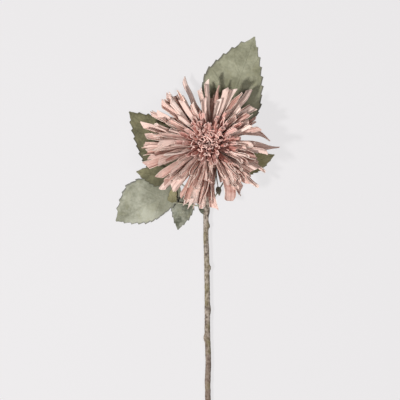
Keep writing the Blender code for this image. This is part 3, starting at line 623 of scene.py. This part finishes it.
def fold_ribbon(kind, plan):
    """Fold, pinch and cut one flat strip, and bring it to a width of 1."""
    ribbon, places = lay_ribbon("ribbon_" + kind, ROWS, COLUMNS)
    for line, turn in plan["folds"]:
        fold(ribbon, places, line, turn)
    if "notch" in plan:
        for row, depth in ((ROWS, 1.0), (ROWS - 1, 0.45)):
            pick(ribbon, lambda v: places[v.index] == (row, 4))
            bpy.ops.transform.translate(value=(-plan["notch"] * depth, 0.0, 0.0))
    if "ragged" in plan:
        for line, depth in ((0, 0.2), (1, 1.0), (3, -0.6), (5, 0.8), (6, -0.4), (8, 0.9)):
            pick(ribbon, lambda v: places[v.index] == (ROWS, line))
            bpy.ops.transform.translate(value=(-plan["ragged"] * depth, 0.0, 0.0))
    if "pinch" in plan:
        for row in (ROWS, ROWS - 1, ROWS - 2, ROWS - 3):
            keep = mix(1.0, plan["pinch"], (row - ROWS + 4) / 4)
            pick(ribbon, lambda v: places[v.index][0] == row)
            bpy.ops.transform.resize(value=(1.0, keep, mix(keep, 1.0, 0.5)),
                                     center_override=(row / ROWS, 0.0, 0.0))
    for row in range(ROWS + 1):
        narrow = plan.get("narrow", 0.7)
        grown = mix(0.30, 1.0, ease(row / ROWS / plan.get("grow", 0.5)))
        grown *= mix(1.0, plan.get("taper", 0.8), ease((row / ROWS - narrow) / (1.0 - narrow)))
        pick(ribbon, lambda v: places[v.index][0] == row)
        bpy.ops.transform.resize(value=(1.0, grown, grown), center_override=ORIGIN)
    bpy.ops.mesh.select_all(action="SELECT")
    bpy.ops.transform.rotate(value=-radians(plan["roll"]), orient_axis="X",
                             center_override=ORIGIN)
    for place, facing in plan["cut"]:
        bpy.ops.mesh.select_all(action="SELECT")
        bpy.ops.mesh.bisect(plane_co=place, plane_no=Vector(facing).normalized(),
                            clear_outer=True)
    switch("OBJECT")
    across = [v.co.y for v in ribbon.data.vertices]
    rise = [v.co.z for v in ribbon.data.vertices if v.co.x > 0.4]
    wide = max(across) - min(across)
    middle = (max(across) + min(across)) / 2
    switch("EDIT")
    bpy.ops.mesh.select_all(action="SELECT")
    bpy.ops.transform.translate(value=(0.0, -middle, -(max(rise) + min(rise)) / 2))
    bpy.ops.transform.resize(value=(1.0, 1.0 / wide, 1.0 / wide),
                             center_override=ORIGIN)
    switch("OBJECT")
    return ribbon


def strip_path(ring, strip):
    """The strip's own line, from the disc outwards, as the solid strip runs."""
    length = strip["length"]
    start, end = ring["rise"]
    points = []
    for k in range(7):
        share = k / 6
        out = ring["disc"]
        up = ring["height"]
        for i in range(8):
            at = share * (i + 0.5) / 8
            slope = radians(mix(start, end, at) + strip["lift"])
            out += cos(slope) * length * share / 8
            up += sin(slope) * length * share / 8
        turn = strip["root"] + strip["lean"] * ease(share / 0.6) + strip["hook"] * share ** 2
        points.append(Vector((cos(turn) * out, sin(turn) * out, up)))
    return points


def run_to(ring, reach):
    """How long a strip is that ends this far out from the axis."""
    return (reach - ring["disc"]) / cos(radians(sum(ring["rise"]) / 2))


def outer_strips(index, ring, rng):
    chosen = OUTER_STRIPS[index::OUTER_RINGS]
    pitch = 2 * pi / len(chosen)
    tips = [atan2(along, across) for across, along, *_ in chosen]
    unrolled = [tips[0]]
    for tip in tips[1:]:
        while tip > unrolled[-1]:
            tip -= 2 * pi
        unrolled.append(tip)
    start = sum(tip + pitch * i for i, tip in enumerate(unrolled)) / len(chosen)
    strips = []
    for i, (across, along, width, kind, hook) in enumerate(chosen):
        root = start - pitch * i
        bend = radians(hook)
        lift = rng.uniform(-RISE_JITTER, RISE_JITTER)
        twist = radians(rng.uniform(-22, 22))
        # Two draws that only the solid strips use keep both sets in step
        rng.uniform(0.45, 0.8)
        rng.uniform(-0.25, 0.25)
        strips.append(dict(root=root, lean=unrolled[i] - root - bend, hook=bend,
                           length=run_to(ring, hypot(across, along)),
                           width=width, kind=kind, lift=lift, twist=twist))
    return strips


SLIPPED_KINDS = ["creased", "fan", "torn", "straw", "pinched", "hemmed", "lance"]
CENTRE_KINDS = ["scroll", "creased", "hook", "scroll", "straw", "curl", "gutter"]
INNER_KINDS = {"slant": "creased", "fork": "forked", "round": "fan", "tube": "gutter",
               "point": "lance"}


def inner_strips(index, ring, rng, shape):
    last = len(RING_RISE) - 1
    share = (index - OUTER_RINGS) / (last - OUTER_RINGS)
    count = round(mix(*INNER_STRIPS, share))
    length = run_to(ring, mix(*INNER_REACH, share ** 0.9))
    pitch = 2 * pi / count
    strips = []
    for i in range(count):
        root = pitch * (i + 0.5 * (index % 2))
        lean = pitch * rng.uniform(-SWAY_JITTER, SWAY_JITTER)
        hook = pitch * rng.uniform(-SWAY_JITTER, SWAY_JITTER) * 0.5
        long = length * rng.uniform(0.86, 1.12)
        width = mix(*INNER_WIDTH, share) * rng.uniform(0.8, 1.15)
        end = rng.choice(["slant", "slant", "fork", "round", "tube", "point"])
        lift = rng.uniform(-RISE_JITTER, RISE_JITTER)
        twist = radians(rng.uniform(-25, 25))
        # As in the outer rings, two draws for the solid strips alone
        rng.uniform(0.45, 0.9)
        rng.uniform(-0.25, 0.25)
        kind = INNER_KINDS[end]
        if index >= SCROLL_RING:
            kind = shape.choice(CENTRE_KINDS)
            width *= 1.5
        elif index >= MIXED_RING:
            kind = shape.choice([kind, "gutter", "torn", "straw", "fan"])
        strips.append(dict(root=root, lean=lean, hook=hook, length=long, width=width,
                           kind=kind, lift=lift, twist=twist,
                           squeezed=shape.uniform(0.5, 1.0) if index >= SCROLL_RING else 1.0))
    return strips


def keep_clear(index, ring, strip):
    """Shorten a strip that would close one of the head's openings."""
    way = degrees(strip["root"] + strip["lean"] + strip["hook"])
    way = (way + 180.0) % 360.0 - 180.0
    for first, low, high, reach in OPENINGS:
        if index >= first and low < way < high:
            strip["length"] = min(strip["length"], run_to(ring, reach))


def slipped_strips(index, ring, shape):
    strips = []
    for at, across, along, width, kind, hook in SLIPPED_STRIPS:
        if at == index:
            bend = radians(hook)
            strips.append(dict(
                root=atan2(along, across) - bend, lean=0.0, hook=bend,
                length=run_to(ring, hypot(across, along)), width=width, kind=kind,
                lift=shape.uniform(-1, 2), twist=radians(shape.uniform(-40, 40))))
    return strips


def between_strips(index, ring, strips, shape):
    """Shorter, thinner strips slipped in between the main ones, each its own way."""
    extra = []
    gap = 2 * pi / len(strips)
    for strip in strips:
        if shape.random() < (0.18 if index < SCROLL_RING else 0.3):
            continue
        kind = shape.choice(SLIPPED_KINDS if index < SCROLL_RING else CENTRE_KINDS)
        extra.append(dict(
            root=strip["root"] + gap * shape.uniform(0.3, 0.7),
            lean=strip["lean"] + shape.uniform(-0.12, 0.12),
            hook=shape.uniform(-0.14, 0.14),
            length=strip["length"] * (shape.uniform(0.52, 0.82) if index < OUTER_RINGS
                                      else shape.uniform(0.62, 0.93)),
            width=strip["width"] * shape.uniform(0.62, 0.95), kind=kind,
            lift=strip["lift"] + shape.uniform(0.5, 5.0),
            twist=radians(shape.uniform(-60, 60))))
        keep_clear(index, ring, extra[-1])
    return extra


def copy_ribbon(master, turn, size):
    """Copy a ribbon, turned about its length and brought to length, width and depth."""
    copy = put(master.name, master.data.copy())
    copy.data.transform(Matrix.Rotation(turn, 4, "X") @ Matrix.Diagonal((*size, 1.0)))
    return copy


def dye(piece, value):
    """How deep the dye of this piece of paper came out, from 0 to 1."""
    tone = piece.data.attributes.new("tone", "FLOAT", "POINT")
    tone.data.foreach_set("value", [value] * len(piece.data.vertices))


def place_strip(masters, ring, strip, shape):
    """Copy a ribbon, bring it to length and width, and bend it along its line."""
    points = strip_path(ring, strip)
    for i, point in enumerate(points[2:], 2):
        loose = strip["length"] * 0.014 * i / 6
        points[i] = point + Vector([shape.uniform(-loose, loose) for _ in range(3)])
    width = strip["width"]
    flip = -1.0 if shape.random() < 0.5 else 1.0
    turned = shape.choice([0, 18, -18, 34, -34, 48, 180])
    copy = copy_ribbon(masters[strip["kind"]], radians(turned),
                       (path_length(points), width * flip, width * strip.get("squeezed", 1.0)))
    if flip < 0 and shape.random() < 0.55:
        copy.data.flip_normals()
    twist = strip["twist"] * TWIST_GAIN
    tilts = [twist * (i / 6) ** 1.5 for i in range(7)]
    bend_along(copy, points, tilts)
    dye(copy, shape.random())
    return copy


def ring_disc(ring):
    """The disc that holds a ring's strips, with a hole for the wire."""
    deselect_all()
    bpy.ops.mesh.primitive_circle_add(vertices=24, radius=ring["disc"] * 1.02,
                                      fill_type="NGON", calc_uvs=True,
                                      location=(0.0, 0.0, ring["height"]))
    disc = bpy.context.object
    bpy.ops.object.transform_apply()
    switch("EDIT")
    bpy.ops.mesh.select_all(action="SELECT")
    bpy.ops.mesh.inset(thickness=ring["disc"] - WIRE_RADIUS - 0.0006)
    bpy.ops.mesh.delete(type="FACE")
    switch("OBJECT")
    dye(disc, 0.3)
    return disc


def make_ring(index, masters):
    """One star of folded strips on its disc, joined to one sheet and given thickness."""
    rng = random.Random(SHAPE_SEED * 100 + index)
    shape = random.Random(SHAPE_SEED * 17 + index)
    ring = dict(disc=DISC_RADIUS - DISC_RADIUS_STEP * index, height=DISC_RISE_STEP * index,
                rise=RING_RISE[index])
    if index < OUTER_RINGS:
        strips = outer_strips(index, ring, rng)
    else:
        strips = inner_strips(index, ring, rng, shape)
        for strip in strips:
            keep_clear(index, ring, strip)
    strips += between_strips(index, ring, strips, shape) + slipped_strips(index, ring, shape)
    pieces = [ring_disc(ring)]
    for strip in strips:
        pieces.append(place_strip(masters, ring, strip, shape))
    sheet = join(pieces, "folded_ring_%02d" % (index + 1))
    sheet.data.transform(HEAD_PLACE)
    crumple(sheet, 0.007, 0.0009)
    inner = index >= ROSE_RING
    make_paper(sheet, CENTRE_SHEET if index >= THICK_RING else PETAL_SHEET,
               INNER_PAPER if inner else OUTER_PAPER, INNER_EDGE if inner else OUTER_EDGE,
               32, INNER_SHADED_BACK if inner else OUTER_SHADED_BACK)
    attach(sheet, "root")
    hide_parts("petal_ring_%02d" % (index + 1))


def make_centre(masters):
    """Small scrolls packed round and over the end of the wire, in a widening spiral."""
    shape = random.Random(SHAPE_SEED)
    foot = DISC_RISE_STEP * len(RING_RISE)
    pieces = []
    for i in range(CENTRE_SCROLLS):
        turned = i / (CENTRE_SCROLLS - 1)
        angle = i * GOLDEN_ANGLE
        radius = CENTRE_SPREAD * sqrt(turned)
        top = mix(0.0262, 0.0222, turned ** 1.5) + shape.uniform(-0.0014, 0.0010)
        low = foot + (0.0090 if i < 4 else 0.0)
        points = []
        for k in range(5):
            share = k / 4
            out = radius * mix(0.45, 1.0, share ** 1.4) + 0.0001
            sway = angle + shape.uniform(-0.10, 0.10)
            points.append(Vector((cos(sway) * out, sin(sway) * out,
                                  mix(low, top, share))))
        master = masters[shape.choice(CENTRE_KINDS)]
        width = shape.uniform(0.0048, 0.0088)
        squeezed = width * shape.uniform(0.45, 1.0)
        copy = copy_ribbon(master, shape.uniform(0, 6.28), (path_length(points), width, squeezed))
        bend_along(copy, points, None, "MINIMUM")
        dye(copy, shape.random())
        pieces.append(copy)
    sheet = join(pieces, "scrolled_centre")
    sheet.data.transform(HEAD_PLACE)
    crumple(sheet, 0.004, 0.0008)
    make_paper(sheet, CENTRE_SHEET, INNER_PAPER, INNER_EDGE, 45, INNER_SHADED_BACK)
    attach(sheet, "root")
    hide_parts("centre_roll")


def half_width(side, share):
    """Rounded towards the base, drawn out towards the tip."""
    widest, peak = side
    if share < peak:
        rounded = sqrt(max(0.0, 1.0 - (1.0 - share / peak) ** 2))
    else:
        rounded = 1.0 - ((share - peak) / (1.0 - peak)) ** 1.5
    return max(BLADE_END_WIDTH / 2, widest * rounded)


def make_leaf(name, base, tip, left, right, rise, cup, teeth, colour):
    """Cut a sheet to the blade's outline row by row, cup it, and arch it along its rib."""
    rows = 4 * teeth
    columns = 16
    snip = random.Random(teeth)
    heights = [snip.uniform(0.45, 1.45) for _ in range(2 * teeth + 2)]
    widest = max(left[0], right[0])
    blade, places = lay_ribbon("blade", rows, columns)
    for line in range(columns + 1):
        away = abs(line - columns / 2) / (columns / 2)
        if away:
            pick(blade, lambda v: places[v.index][1] == line)
            bpy.ops.transform.translate(value=(0.0, 0.0, -cup * away ** 2))
    for row in range(rows + 1):
        share = row / rows
        for right_side, side in ((False, left), (True, right)):
            reach = half_width(side, share)
            tooth = TOOTH * (row % 4) / 3 * heights[row // 4 + teeth * right_side]
            tooth *= row < rows - 3
            if row < rows and widest > 0.004:
                reach += tooth * min(1.0, reach / (6 * TOOTH)) - TOOTH * 0.4 * (reach > 0.004)
            pick(blade, lambda v: places[v.index][0] == row
                 and ((places[v.index][1] < columns / 2) if right_side
                      else (places[v.index][1] > columns / 2)))
            bpy.ops.transform.resize(value=(1.0, reach * 2.0, reach / widest),
                                     center_override=ORIGIN)
    # Each tooth points forward
    pick(blade, lambda v: places[v.index][0] % 4 == 3 and places[v.index][0] < rows - 3
         and places[v.index][1] in (0, columns))
    bpy.ops.transform.translate(value=(0.9 / rows, 0.0, 0.0))
    switch("OBJECT")
    base = Vector((*base, 0.0)) + SHIFT
    tip = Vector((*tip, 0.0)) + SHIFT
    points = []
    for k in range(6):
        spot = base.lerp(tip, k / 5)
        spot.z = mix(rise[0], rise[1], (k / 5) ** 1.6) + SHIFT.z
        points.append(spot)
    blade.data.transform(Matrix.Diagonal((path_length(points), 1.0, 1.0, 1.0)))
    bend_along(blade, points)
    crumple(blade, 0.016, 0.0016 if widest > 0.012 else 0.0006)
    for vert in blade.data.vertices:
        vert.co.z = max(vert.co.z, LEAF_SHEET * 0.6)
    make_paper(blade, LEAF_SHEET, LEAF_FINISH[colour], LEAF_FINISH[colour], 40)
    blade.name = blade.data.name = "paper_" + name
    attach(blade, "root")
    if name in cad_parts:
        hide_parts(name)


def stem_line(step):
    """Points along the stem, from the foot of the calyx to the cut end."""
    axis = Vector((0.0, sin(HEAD_TILT), cos(HEAD_TILT)))
    start = HEAD - axis * (FIT_GAP + SOLID_SHEET / 2 + CALYX_HEIGHT + FIT_GAP)
    turn = pi / 2 - HEAD_TILT
    points = []
    for i in range(7):
        angle = HEAD_TILT + turn * i / 6
        back = NECK_BEND_RADIUS * (cos(angle) - cos(HEAD_TILT))
        down = NECK_BEND_RADIUS * (sin(angle) - sin(HEAD_TILT))
        points.append(start + Vector((0.0, back, -down)))
    neck = points[-1]
    first = HEAD.y - neck.y
    runs = round((STEM_LENGTH - first) / step)
    for i in range(1, runs + 1):
        below = mix(first, STEM_LENGTH, i / runs)
        share = (below - first) / (STEM_LENGTH - first)
        points.append(Vector((look_up(STEM_SWAY, below) + SHIFT.x, HEAD.y - below,
                              mix(neck.z, STEM_END_HEIGHT + SHIFT.z, share))))
    return points


def make_bark():
    """Paper wound thick on the wire: a long tube, swollen at the knots and rubbed rough."""
    points = stem_line(0.004)
    bark = draw_line("wound_bark", points, 2)
    bark.data.bevel_depth = BARK_RADIUS - 0.0001
    bark.data.bevel_resolution = 6
    # It thickens towards the foot
    for knot, point in zip(bark.data.splines[0].bezier_points, points):
        knot.radius = mix(1.0, 1.14, ease((HEAD.y - point.y) / 0.25))
    take(bark)
    bpy.ops.object.convert(target="MESH")
    bark = bpy.context.object
    switch("EDIT")
    bpy.ops.mesh.select_mode(type="VERT")
    for place, height, half_length, side in STEM_KNOTS:
        facing = Vector((cos(radians(side)), 0.0, sin(radians(side))))
        spot = Vector((look_up(STEM_SWAY, place) + SHIFT.x, HEAD.y - place, 0.0))
        near = min(points, key=lambda p: abs(p.y - spot.y))
        target = Vector((spot.x, spot.y, near.z)) + facing * BARK_RADIUS
        pick(bark, lambda v: (v.co - target).length < 0.0016)
        bpy.ops.transform.translate(value=facing * height, use_proportional_edit=True,
                                    proportional_edit_falloff="SMOOTH",
                                    proportional_size=half_length)
    switch("OBJECT")
    crumple(bark, 0.0035, 0.0007)
    for vert in bark.data.vertices:
        vert.co.z = max(vert.co.z, FLOOR_GAP)
    bark.data.materials.clear()
    bark.data.materials.append(BARK)
    reshape(bark, "SOLIDIFY", thickness=BARK_WALL, offset=-1.0)
    bpy.ops.object.shade_smooth_by_angle(angle=radians(60))
    bark.name = bark.data.name = "wound_bark"
    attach(bark, "root")
    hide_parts("stem_bark")


def dress_solids():
    """The solids that stay get their finish: wire, calyx and stalks."""
    for name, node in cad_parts.items():
        finish = STEEL if name == "stem_wire" else TAPE
        node.data.materials.clear()
        node.data.materials.append(finish)


def make_set():
    """A pale floor, a soft key lamp from the lower left, a wide fill and an even surround."""
    deselect_all()
    bpy.ops.mesh.primitive_plane_add(size=6.0, location=(0.0, 0.0, -0.0002))
    floor = bpy.context.object
    floor.name = "floor"
    mat, tree, shader = start_finish("pale matt paper floor", 0.95)
    give(tree, shader, {"Base Color": hue(FLOOR_COLOUR)})
    # What the camera and reflections see of it is part backdrop light, so the shadow is soft
    seen = add(tree, "LightPath").outputs
    direct = add(tree, "Math", [seen["Is Camera Ray"], seen["Is Glossy Ray"]], operation="ADD")
    direct = add(tree, "Math", [direct, seen["Is Transmission Ray"]], operation="ADD")
    share = add(tree, "Math", [direct, 0.88], operation="MULTIPLY", use_clamp=True)
    glow = add(tree, "Emission", {"Color": hue(FLOOR_COLOUR), "Strength": 1.0})
    both = add(tree, "MixShader", [share, shader, glow])
    give(tree, tree.nodes["Material Output"], {"Surface": both})
    floor.data.materials.append(mat)
    world = bpy.data.worlds.new("studio")
    bpy.context.scene.world = world
    world.use_nodes = True
    back = world.node_tree.nodes["Background"]
    back.inputs["Color"].default_value = (1.0, 1.0, 1.0, 1.0)
    back.inputs["Strength"].default_value = SURROUND
    for name, place, size, power in LAMPS:
        lamp = bpy.data.lights.new(name, "AREA")
        lamp.shape = "DISK"
        lamp.size = size
        lamp.energy = power
        lit = put(name, lamp)
        lit.location = place
        aim = LAMP_AIM - Vector(place)
        lit.rotation_euler = aim.to_track_quat("-Z", "Y").to_euler()


def make_camera():
    """Straight down, the stem towards the foot of the picture, 1 mm to the pixel."""
    lens = bpy.data.cameras.new("camera")
    lens.sensor_width = SENSOR
    lens.lens = SENSOR * (CAMERA_PLACE.z - SHARP_HEIGHT) / PICTURE_WIDTH
    lens.clip_end = 20.0
    camera = put("camera", lens)
    camera.location = CAMERA_PLACE + SHIFT
    bpy.context.scene.camera = camera
    bpy.context.scene.view_settings.view_transform = "Standard"


def build():
    """Fold each kind of ribbon once, then build the head, the leaves, the stem and the set."""
    masters = {kind: fold_ribbon(kind, plan) for kind, plan in RIBBONS.items()}
    for index in range(len(RING_RISE)):
        make_ring(index, masters)
    make_centre(masters)
    for master in masters.values():
        bpy.data.objects.remove(master)
    for leaf in LEAVES:
        make_leaf(*leaf)
    make_bark()
    dress_solids()
    make_set()
    make_camera()


build()
bpy.context.view_layer.update()
